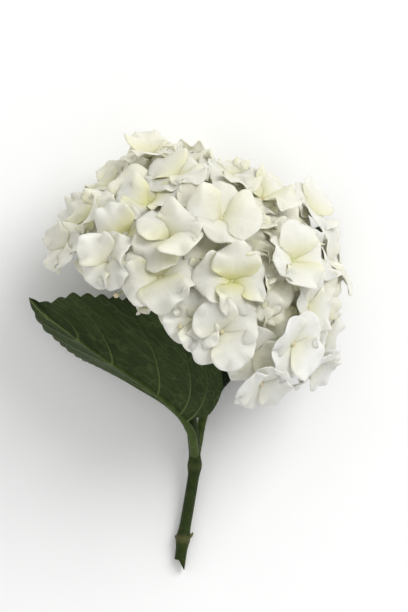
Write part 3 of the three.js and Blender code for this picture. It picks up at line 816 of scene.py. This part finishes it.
def outer_places(draw):
    """The listed florets, the one pressed on the surface, then a spiral in the free places."""
    places = []
    for x, y, turn, size, level, cup, green in TOP_FLORETS:
        d = direction_at(x, y, level * LEVEL_STEP)
        places.append(place(d, turn, size, level, cup, green))
    places.append(place(direction_to(LOWEST), *RESTING_FLORET))
    for d in spiral(SPIRAL_POINTS):
        turn, size = next(draw) * 90, mix(*SPIRAL_SIZES, next(draw))
        spot = dome_point(d, 0)[0]
        if below_edge(d) or crowded(spot, places, FLORET_SPACING):
            continue
        places.append(place(d, turn, size, free_level(spot, places)))
    return places


def outer_lobes(floret, draw):
    """The four sepals of an outer floret, with the draws of the part's source."""
    lobes = []
    for k in range(4):
        rise = CUP["high"] + CUP["low"] * floret["level"] + CUP["pair"] * (k % 2)
        rise += CUP["spread"] * next(draw)
        reach = SEPAL_LENGTH * floret["size"] * mix(*REACH_SPREAD, next(draw))
        bend = mix(*BEND, next(draw))
        next(draw)  # the wave of the source's sepal, which has waves of its own here
        lobes.append(dict(turn=floret["turn"] + 90 * k, reach=reach, rise=rise, bend=bend))
    return lobes


# ---- Flower head: sepals, buds and stalks ----


def unit_disc(n):
    """A square grid of points spread over a disc with no pole."""
    a, b = np.meshgrid(np.linspace(-1, 1, n + 1), np.linspace(-1, 1, n + 1), indexing="ij")
    return a * np.sqrt(1 - b * b / 2), b * np.sqrt(1 - a * a / 2)


def tangent_frame(normal):
    u = np.array([1.0, 0, 0]) - normal * normal[0]
    if np.linalg.norm(u) < 0.3:
        u = np.array([0, 1.0, 0]) - normal * normal[1]
    u = unit(u)
    return u, np.cross(normal, u)


def arc(base, tip, s):
    """Distances along and up at shares s of a unit line whose slope goes from base to tip."""
    fine = np.linspace(0, 1, 41)
    slope = np.radians(mix(base, tip, fine**0.8))
    steps = np.diff(fine)
    middle = (slope[1:] + slope[:-1]) / 2
    along = np.concatenate([[0], np.cumsum(np.cos(middle) * steps)])
    up = np.concatenate([[0], np.cumsum(np.sin(middle) * steps)])
    return np.interp(s, fine, along), np.interp(s, fine, up)


def sepal_outline(x, y, rng):
    """Shares s from foot to tip and v across, for points of a disc, and how uneven the edge is."""
    phase = rng.integers(3, 6) * np.arctan2(y, x) + rng.uniform(0, FULL_TURN)
    lobes = np.sin(phase) * rng.uniform(*VARY["outline"])
    s = (1 + x) / 2
    width = np.sqrt(np.clip(1 - x * x, 1e-6, 1))
    plump = np.clip(4 * s * (1 - s), 0, 1) ** rng.uniform(*VARY["plumpness"])
    v = np.clip(y / width, -1, 1) * plump * smoothstep(s, -0.08, 0.3)
    return s, v, 1 + lobes * (x * x + y * y)


def sepal_slope(floret, lobe, s, rng):
    """How far along and up each share lies, from a foot that rises to a tip that drops."""
    cup = floret["cup"]
    rise = lobe["rise"] + cup * rng.uniform(*VARY["rise"])
    foot = rise + mix(*FOOT_RISE, cup) * rng.uniform(*VARY["foot"])
    tip = rise + lobe["bend"] - mix(*TIP_DROP, cup) * rng.uniform(*VARY["tip"])
    along, up = arc(foot, tip, s)
    sideways = 1 - max(0.0, floret["normal"][2])
    reach = lobe["reach"] * mix(*LENGTHEN, cup) * (1 - SIDEWAYS_SHORTER * sideways)
    return reach * along, reach * up


def sepal_relief(x, y, s, v, rng):
    """Waves at the margin, a trough or a ridge along the middle, a lean and a twist."""
    around = np.arctan2(y, x)
    margin = smoothstep(np.hypot(x, y), 0.3, 1.0) * smoothstep(s, 0.12, 0.5)
    waves = sum(
        np.sin(rng.uniform(few, many) * around + rng.uniform(0, FULL_TURN)) * rng.uniform(low, high)
        for few, many, low, high in RUFFLES
    )
    foot, tip = rng.uniform(*VARY["foot_trough"]), rng.uniform(*VARY["tip_trough"])
    lean = rng.uniform(*VARY["lean"]) * v * s
    swing = rng.uniform(*VARY["swing"]) * np.sin(np.pi * s) * v
    return RUFFLE_HEIGHT * margin * waves + (foot * (1 - s) + tip * s) * v**2 + lean + swing


def sepal_form(floret, lobe, rng, n):
    """A sepal in its own frame: s from foot to tip, v across, then along, across and up in mm."""
    x, y = unit_disc(n)
    s, v, uneven = sepal_outline(x, y, rng)
    along, up = sepal_slope(floret, lobe, s, rng)
    up += mix(*RELIEF, floret["cup"]) * sepal_relief(x, y, s, v, rng)
    up -= CREASE_DEPTH * np.exp(-((v / CREASE_WIDTH) ** 2)) * smoothstep(s, 0.1, 0.5)
    across = SEPAL_WIDTH / 2 * floret["size"] * rng.uniform(*VARY["width"]) * v
    return s, v, along * mix(1, uneven, s), across * uneven, up


def sepal(pile, floret, lobe, upper, rng, tint, n):
    """One sepal as a closed thin sheet. The upper pair stands over the lower pair."""
    s, v, along, across, up = sepal_form(floret, lobe, rng, n)
    up = up + upper * PAIR_GAP * smoothstep(s, 0, 0.25)
    turn = math.radians(lobe["turn"]) + rng.uniform(*VARY["turn"]) * s * s
    u, w = tangent_frame(floret["normal"])
    middle = (
        floret["middle"]
        + u * (along * np.cos(turn) - across * np.sin(turn))[..., None]
        + w * (along * np.sin(turn) + across * np.cos(turn))[..., None]
        + floret["normal"] * up[..., None]
    )
    half = normals_of(middle) * SEPAL_THICKNESS / 2
    low = floor_under(middle) + (FLOOR_GAP if upper else PRESSED_GAP)
    values = np.stack([s, v, np.full_like(s, tint)], axis=-1)
    thick_sheet(pile, *raised(middle + half, middle - half, low), values)


def tint_of(cream, green):
    """Creaminess and greenness packed in one number, as the sepal material reads them."""
    return round(100 * float(np.clip(cream, 0, 1))) + float(np.clip(green, 0.01, 0.99))


def creaminess(middle, rng):
    """Creamier towards the top of the head, whiter towards its lower right."""
    slope = CREAM_SLOPE @ (middle - HEAD_CENTRE)[:2]
    return float(np.clip(CREAM_MEAN + slope + rng.uniform(-CREAM_SPREAD, CREAM_SPREAD), 0.0, 1.0))


def ray_tips():
    """Where the rays end: one along the head's axis, the others round it."""
    tips = []
    for k in range(RAY_COUNT):
        z = 1 if k == 0 else RAY_HEIGHTS[k % 2]
        around = 2 * math.pi * k / (RAY_COUNT - 1)
        flat = math.sqrt(1 - z * z)
        d = np.array([flat * math.cos(around), flat * math.sin(around), z])
        dome = to_world(dome_point(d, 0)[0]) + HEAD_CENTRE
        tips.append(mix(NECK, dome, RAY_REACH))
    return tips


def nearest(tips, point):
    return int(np.argmin([np.linalg.norm(tip - point) for tip in tips]))


def bowed(a, b, sag, steps=7):
    """Points from a to b, bowed sideways by sag."""
    t = np.linspace(0, 1, steps)[:, None]
    return a + (b - a) * t + np.sin(np.pi * t) * sag


def add_stalk(pile, tips, end, radius, rng):
    line = bowed(tips[nearest(tips, end)], end, rng.uniform(-STALK_SAG, STALK_SAG, 3))
    tube(pile, line, radius * np.linspace(*STALK_TAPER, len(line)), 7)


def add_outer_florets(sprays, buds, stalks, tips, draw):
    """The florets that the part's source has, each in the pile of its nearest ray."""
    rng = np.random.default_rng(OUTER["seed"])
    florets = []
    for spot in outer_places(draw):
        floret = lean_up(settle(spot, spot["level"] * LEVEL_STEP), OUTER["lean"])
        florets.append(floret)
        if floret["cup"] is None:
            floret.update(cup=rng.uniform(*OUTER["cup"]), green=rng.uniform(*OUTER["green"]))
        cream = creaminess(floret["middle"], rng)
        home = sprays[nearest(tips, floret["middle"])]
        for i, lobe in enumerate(outer_lobes(floret, draw)):
            tint = tint_of(cream + rng.uniform(-0.1, 0.1), floret["green"])
            sepal(home, floret, lobe, i % 2, rng, tint, OUTER["net"])
        n = floret["normal"]
        ball(buds, floret["middle"] + n * BUD_RADIUS * 0.8, BUD_RADIUS, n, (0, 0, rng.uniform(0, 0.7)))
        add_stalk(stalks, tips, floret["middle"] - n * 0.4, STALK_RADIUS, rng)
    return florets


def steep_lobe(floret, k, rise, rng):
    reach = SEPAL_LENGTH * floret["size"] * rng.uniform(*REACH_SPREAD)
    return dict(turn=floret["turn"] + 90 * k, reach=reach, rise=rise, bend=STEEP_BEND)


def pokes_through(floret, lobe, middles, normals):
    """Whether a sepal would stand up through the sepals of an outer floret."""
    u, w = tangent_frame(floret["normal"])
    turn, rise = math.radians(lobe["turn"]), math.radians(lobe["rise"] + PROBE_RISE)
    flat = u * math.cos(turn) + w * math.sin(turn)
    side = np.cross(floret["normal"], flat) * lobe["reach"]
    step = (flat * math.cos(rise) + floret["normal"] * math.sin(rise)) * lobe["reach"]
    for share, aside in PROBES:
        away = floret["middle"] + step * share + side * aside - middles
        height = np.sum(away * normals, axis=1)
        flat_away = np.linalg.norm(away - height[:, None] * normals, axis=1)
        over = (height > BOWL["slope"] * flat_away - BOWL["depth"]) & (height < BOWL["height"])
        if np.any(over & (flat_away < BOWL["radius"])):
            return True
    return False


def tucked_lobe(floret, k, rise, rng, middles, normals):
    """A sepal laid flatter until it stays under the outer florets, or None."""
    lobe = steep_lobe(floret, k, rise, rng)
    while pokes_through(floret, lobe, middles, normals):
        lobe["rise"] -= FILLER["rise_step"]
        if lobe["rise"] < FILLER["flattest"]:
            return None
    return lobe


def add_fillers(pile, stalks, tips, florets):
    """Steeper florets that stand a little lower, in the gaps between the outer ones."""
    rng = np.random.default_rng(FILLER["seed"])
    middles = np.array([floret["middle"] for floret in florets])
    normals = np.array([floret["normal"] for floret in florets])
    taken = list(florets)
    for d in spiral(FILLER["points"]):
        spot = dome_point(d, 0)[0]
        if below_edge(d, FILLER["edge"]) or crowded(spot, taken, FILLER["spacing"]):
            continue
        size = rng.uniform(*FILLER["size"])
        turn, green = rng.uniform(0, 90), rng.uniform(*FILLER["green"])
        floret = place(d, turn, size, 0, FILLER["cup"], green)
        taken.append(floret)
        sideways = 1 - max(0.0, to_world(d)[2])
        lift = FILLER["lift"] - FILLER["sideways_lower"] * sideways
        floret = lean_up(settle(floret, lift + rng.uniform(*FILLER["lift_spread"])), FILLER["lean"])
        # Painted shade: filler sepals get extra cream for the shade in the gaps between the outer
        # florets.
        tint = tint_of(creaminess(floret["middle"], rng) + FILLER["painted_shade_cream"], green)
        for k in range(4):
            lobe = tucked_lobe(floret, k, rng.uniform(*FILLER["rise"]), rng, middles, normals)
            if lobe:
                sepal(pile, floret, lobe, k % 2, rng, tint, FILLER["net"])
        add_stalk(stalks, tips, floret["middle"], STALK_RADIUS * 0.8, rng)


def add_inner_florets(pile):
    """Small florets deep between the rays, which close the head behind the outer ones."""
    rng = np.random.default_rng(INNER["seed"])
    for d in spiral(INNER["points"]):
        if d[2] < INNER["lowest"]:
            continue
        point, normal = dome_point(d, 0)
        turn, size = rng.uniform(0, 90), rng.uniform(*INNER["size"])
        floret = place(d, turn, size, 1, INNER["cup"], INNER["green"])
        floret["middle"] = to_world(point * rng.uniform(*INNER["depth"])) + HEAD_CENTRE
        floret["normal"] = unit(to_world(normal) + rng.uniform(*INNER["tilt"], 3))
        for k in range(4):
            lobe = steep_lobe(floret, k, rng.uniform(*INNER["rise"]), rng)
            # Painted shade: these deep sepals are tinted cream and green for the shade inside the head.
            tint = tint_of(rng.uniform(*INNER["cream"]), INNER["green"])
            sepal(pile, floret, lobe, k % 2, rng, tint, INNER["net"])


def add_loose_buds(buds, stalks, tips):
    """The small unopened buds that stand out at the edge of the head."""
    rng = np.random.default_rng(LOOSE_BUD["seed"])
    for x, y in TOP_BUDS:
        point, normal = dome_point(direction_at(x, y, 0), LOOSE_BUD["lift"])
        centre = to_world(point) + HEAD_CENTRE
        outward = unit(to_world(normal))
        beige = (0, 0, rng.uniform(0.5, 1))
        ball(buds, centre, LOOSE_BUD["radius"], outward, beige, stretch=LOOSE_BUD["stretch"])
        add_stalk(stalks, tips, centre - outward, STALK_RADIUS * LOOSE_BUD["stalk"], rng)


def build_head():
    tips = ray_tips()
    draw = random_run(HEAD_SEED)
    sprays = [Pile() for _ in tips]
    fillers, inner, buds, stalks = Pile(), Pile(), Pile(), Pile()
    florets = add_outer_florets(sprays, buds, stalks, tips, draw)
    add_fillers(fillers, stalks, tips, florets)
    add_inner_florets(inner)
    add_loose_buds(buds, stalks, tips)
    for tip in tips:
        line = bowed(NECK, tip, np.zeros(3), 6)
        tube(stalks, line, np.linspace(*RAY_RADIUS, len(line)), 9)
    ball(stalks, NECK, NECK_RADIUS, HEAD_AXIS, (0, 0, 0), 10, 16, 0.9)
    white, bud, stalk = sepal_material(), bud_material(), stalk_material()
    for k, pile in enumerate(sprays):
        make(f"florets_{k + 1}", pile, white, "flower_head")
    make("filler_florets", fillers, white, "flower_head")
    make("inner_florets", inner, white, "flower_head")
    make("buds", buds, bud, "flower_head")
    make("stalks", stalks, stalk, "flower_head")


# ---- Leaves ----


def foot_at(q):
    return mix(*FOOT_SPAN, q**FOOT_POWER)


def head_at(q, half):
    return mix(half["heel"], 1, q**HEAD_POWER)


def half_width(q, half):
    """Half width of the blade at a column's margin end, as in the part's source."""

    def shape(x):
        return x ** half["rise"] * (1 - x) ** half["fall"]

    taper = 1 - half["taper"] * smoothstep(q, 0.78, 0.97)
    full = shape(half["rise"] / (half["rise"] + half["fall"]))
    return LEAF_WIDTH * half["span"] * taper * shape(mix(half["base"], 0.997, q)) / full


def blade_surface(leaf, midrib, start, x, y, half):
    """Points of the blade: x along the midrib and y across it, both on the flat leaf."""
    length = midrib.length * (1 - start)
    share = np.clip(x / length, 0, 1)
    t = mix(start, 1, share)
    along = midrib.tangent(t)
    side = np.cross(along, unit(np.array(leaf["facing"], float)))
    side /= np.linalg.norm(side, axis=-1, keepdims=True)
    out = np.cross(side, along)
    fold = np.radians(mix(*half["fold"], smoothstep(share, *half["settle"])))
    reach = np.abs(y) / LEAF_WIDTH
    turn = fold + np.radians(half["curl"]) * reach
    wave = half["wave"] * reach**2 * np.sin(share * BLADE_WAVES + np.where(y > 0, 0, LEFT_WAVE_SHIFT))
    return (
        midrib.at(t)
        + along * (x - share * length)[..., None]
        + side * (y * np.cos(turn))[..., None]
        + out * (np.abs(y) * np.sin(turn) + wave)[..., None]
    )


def half_blade(leaf, midrib, start, half, sign):
    """The fine net of one half: columns that sweep from the midrib to a toothed margin."""
    columns = LEAF_TEETH * 2 * FINE_COLUMNS
    c = np.linspace(0, LEAF_TEETH * 2, columns + 1)[:, None]
    row = np.linspace(0, 1, FINE_ROWS + 1)[None, :]
    q = c / (LEAF_TEETH * 2)
    margin = half_width(q, half)
    share = mix(foot_at(q), head_at(q, half), row**1.35)
    tooth = (0.5 - 0.5 * np.cos(np.pi * c)) ** TOOTH_SHARPNESS
    depth = TOOTH_DEPTH * np.minimum(1, margin / TOOTH_ROOM) * smoothstep(row, 0.88, 1.0)
    x = share * midrib.length * (1 - start) + TOOTH_LEAN * tooth * depth
    y = sign * (margin * row + (tooth - 0.5) * depth)
    return blade_surface(leaf, midrib, start, x, y, half), y


def vein_columns():
    """The columns whose feet on the midrib are the feet of the side veins."""
    share = (np.array(VEIN_FEET) - FOOT_SPAN[0]) / (FOOT_SPAN[1] - FOOT_SPAN[0])
    return LEAF_TEETH * 2 * share ** (1 / FOOT_POWER)


def vein_marks(surface, y):
    """Which side vein each point lies beside, how much of a vein it is, and the puff between."""
    count = len(surface)
    out_share = np.abs(np.linspace(-1, 1, surface.shape[1]))[None, :]
    c = np.linspace(0, LEAF_TEETH * 2, count)[:, None] - VEIN_SWEEP * out_share**1.6
    feet = vein_columns()
    phase = np.interp(c, np.concatenate([[-3], feet, [LEAF_TEETH * 2 + 3]]), np.arange(len(feet) + 2))
    along, out = np.gradient(surface, axis=0), np.gradient(surface, axis=1)
    lean = np.linalg.norm(np.cross(along, out), axis=-1) / np.linalg.norm(out, axis=-1)
    step = LEAF_TEETH * 2 / (count - 1)
    gap = np.min(np.abs(c[..., None] - feet), axis=-1) / step * lean
    side = np.exp(-((gap / mix(*VEIN_HALF_WIDTH["side"], out_share)) ** 2))
    side *= smoothstep(out_share, 1.0, 0.8) * mix(1, 0.5, out_share)
    along_share = np.linspace(0, 1, count)[:, None]
    main = np.exp(-((np.abs(y) / mix(*VEIN_HALF_WIDTH["main"], along_share**0.6)) ** 2))
    between = np.sin(np.pi * (phase % 1)) ** 2
    puff = between * smoothstep(out_share, 0, 0.25) * smoothstep(out_share, 1, 0.75)
    return np.broadcast_to(phase, y.shape), side, main, puff


def build_blade(name, leaf, midrib, start, material, veins_up):
    """The blade as one sheet, its veins raised on the upper side or, at -1, on the lower."""
    left, y_left = half_blade(leaf, midrib, start, leaf["left"], -1)
    right, y_right = half_blade(leaf, midrib, start, leaf["right"], 1)
    surface = np.concatenate([left[:, :0:-1], right], axis=1)
    y = np.concatenate([y_left[:, :0:-1], y_right], axis=1)
    phase, side, main, puff = vein_marks(surface, y)
    normals = normals_of(surface)
    upward = 1 if normals[len(normals) // 2, FINE_ROWS] @ np.array(leaf["facing"]) > 0 else -1
    vein = np.clip(side + main, 0, 1)
    height = side * VEIN_HEIGHT["side"] + main * VEIN_HEIGHT["main"] + puff * VEIN_HEIGHT["between"]
    middle = surface + normals * upward * (height * veins_up)[..., None]
    half = normals * (BLADE_THICKNESS / 2 + vein * VEIN_HEIGHT["thicker"])[..., None]
    over, under = raised(middle + half, middle - half, FLOOR_GAP)
    values = np.stack([phase, np.abs(y), vein], axis=-1)
    pile = Pile()
    thick_sheet(pile, over, under, values)
    make(name + "_blade", pile, material, name)


def build_midrib(name, midrib, start, material):
    """The leaf's stalk, which runs on along the blade as its midrib and tapers to the tip."""
    t = np.linspace(0, 1, MIDRIB_NET["rings"])
    on_blade = np.clip((t - start) / (1 - start), 0, 1)
    stalk, rib = mix(*PETIOLE_RADIUS, t / start), mix(*MIDRIB_RADIUS, on_blade**0.6)
    radii = np.where(t < start, stalk, rib)
    line = midrib.at(t)
    line[:, 2] = np.maximum(line[:, 2], radii + FLOOR_GAP)
    values = np.stack([t * midrib.length, np.zeros_like(t), np.zeros_like(t)], axis=1)
    pile = Pile()
    tube(pile, line, radii, MIDRIB_NET["sides"], values)
    make(name + "_midrib", pile, material, name)


def build_leaf(name, leaf, blade_material, stalk_colour, veins_up):
    midrib = Curve(leaf["midrib"])
    start = leaf["petiole"] / midrib.length
    build_blade(name, leaf, midrib, start, blade_material, veins_up)
    build_midrib(name, midrib, start, stalk_colour)


# ---- Stem ----


def node_bud(pile, path, t, side, length, radius):
    """A short pointed bud on one side of a node."""
    start = path.at(t)
    lean = path.tangent(t) * length * 0.55
    middle, tip = start + side * length * 0.85, start + side * length + lean
    w = np.linspace(0, 1, 9)[:, None]
    line = start * (1 - w) ** 2 + 2 * middle * w * (1 - w) + tip * w**2
    radii = radius * (1 - 0.8 * w[:, 0] ** 2)
    tube(pile, line, radii, 10, np.tile([t * path.length, 0, 0.35], (len(line), 1)))


def build_stem(material):
    path = Curve(STEM_PATH)
    t = np.linspace(0, 1, STEM_NET["rings"])
    away = [((t - spot) * path.length / NODE_LENGTH) ** 2 for spot in (LOWER_NODE, UPPER_NODE)]
    radii = STEM_RADIUS + NODE_SWELLING * (np.exp(-away[0]) + np.exp(-away[1]))
    brown = SCAR_BROWN[0] * np.exp(-away[0] * 6) + SCAR_BROWN[1] * np.exp(-away[1] * 6)
    values = np.stack([t * path.length, np.zeros_like(t), brown], axis=1)
    line = path.at(t)
    line[:, 2] = np.maximum(line[:, 2], radii + STEM_LIFT)
    pile = Pile()
    tube(pile, line, radii, STEM_NET["sides"], values, CUT_SLANT, (0, 0, -1))
    for side, length, radius in NODE_BUDS:
        node_bud(pile, path, LOWER_NODE, side * NODE_SIDE, length, radius)
    make("stem_main", pile, material, "stem")


# ---- Scene ----


def build_stage():
    turns = ((-1, -1), (1, -1), (1, 1), (-1, 1))
    corners = [(x * FLOOR_REACH, y * FLOOR_REACH, 0) for x, y in turns]
    mesh = bpy.data.meshes.new("floor")
    mesh.from_pydata(corners, [], [(0, 1, 2, 3)])
    mesh.materials.append(floor_material())
    add_object("floor", mesh)


def build_key_light():
    light = bpy.data.lights.new("key", "AREA")
    light.size = KEY_LIGHT["size"]
    light.energy = KEY_LIGHT["power"]
    obj = add_object("key", light)
    obj.location = KEY_LIGHT["spot"]
    direction = Vector(KEY_LIGHT["target"]) - Vector(KEY_LIGHT["spot"])
    obj.rotation_euler = direction.to_track_quat("-Z", "Y").to_euler()


def build_camera():
    camera = bpy.data.cameras.new("camera")
    camera.sensor_width = SENSOR
    camera.lens = SENSOR * CAMERA_RISE / (FRAME_HEIGHT * PIXEL)
    camera.clip_end = 50
    obj = add_object("camera", camera)
    spot = (*VIEW_MIDDLE, FOCUS_HEIGHT + CAMERA_RISE)
    obj.location = [v * MM for v in spot]
    bpy.context.scene.camera = obj


def build_sky():
    """An even white sky, with the plain view transform."""
    world = bpy.data.worlds.new("studio")
    world.use_nodes = True
    background = world.node_tree.nodes["Background"]
    background.inputs["Color"].default_value = (1.0, 1.0, 1.0, 1.0)
    background.inputs["Strength"].default_value = SKY_STRENGTH
    bpy.context.scene.world = world
    bpy.context.scene.view_settings.view_transform = "Standard"


def build_leaves():
    """The front leaf shows its underside, with its raised veins; the back leaf its upper side, in a
    darker copy of the front's colours: partly the upper side's own deeper green, partly painted shade
    from the head above.
    """
    front, back = leaf_material("leaf_underside", FRONT_LEAF), leaf_material("leaf_top_painted_shade", SHADED_BACK_LEAF)
    stalk = stem_material("petiole", *PETIOLE_GREENS)
    build_leaf("leaf_front", LEAF_FRONT, front, stalk, 1)
    build_leaf("leaf_back", LEAF_BACK, back, stalk, -1)


build_camera()
build_sky()
build_key_light()
build_stage()
build_head()
build_leaves()
build_stem(stem_material("stem", *STEM_GREENS))
